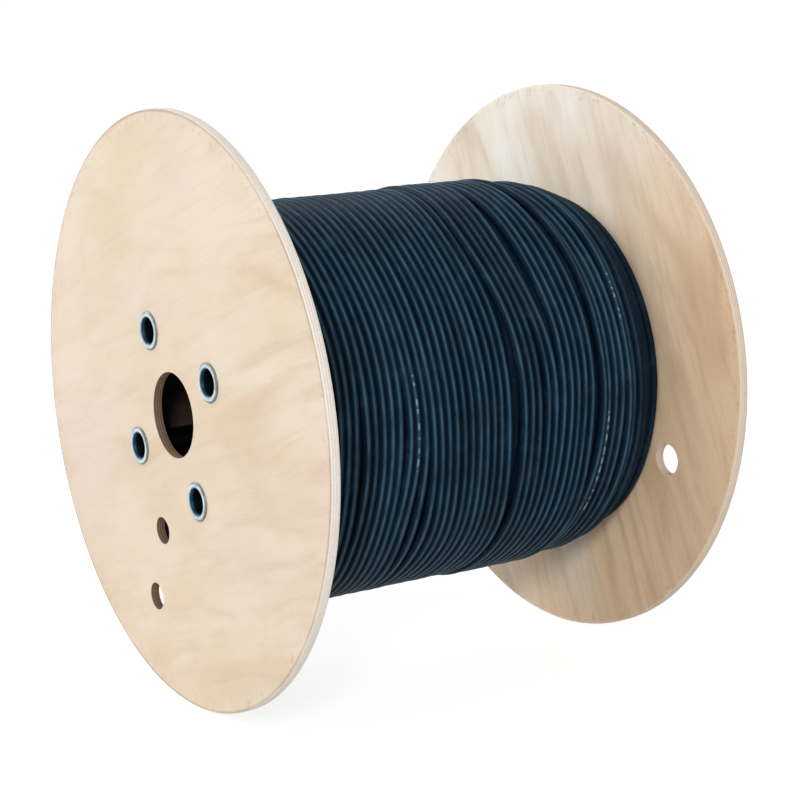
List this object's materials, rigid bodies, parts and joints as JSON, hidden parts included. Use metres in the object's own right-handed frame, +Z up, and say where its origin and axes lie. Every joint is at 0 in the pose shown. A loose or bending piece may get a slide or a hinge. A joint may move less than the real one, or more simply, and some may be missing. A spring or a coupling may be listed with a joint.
{
  "type": "wooden cable drum",
  "caption": "Plywood cable drum with a spindle bore, steel tie tubes and dark cable wound on its barrel, lying on its rims.",
  "frame": {"origin": "on the floor, under the middle of the drum, which lies on its two rims", "axes": "+X along the drum's axis from the near flange to the far one, +Y to the back, +Z up"},
  "size_m": [0.454, 0.5599, 0.56],
  "materials": {
    "plywood": "sanded poplar plywood, unfinished",
    "barrel_board": "rolled board, unfinished",
    "zinc_steel": "bright zinc plated",
    "cable_jacket": "satin blue-black jacket"
  },
  "bodies": {
    "root": {"flange_near": "plywood", "flange_far": "plywood", "barrel": "barrel_board", "tie_tube_1": "zinc_steel", "tie_tube_2": "zinc_steel", "tie_tube_3": "zinc_steel", "tie_tube_4": "zinc_steel", "cable_winding": "cable_jacket"}
  },
  "joints": []
}
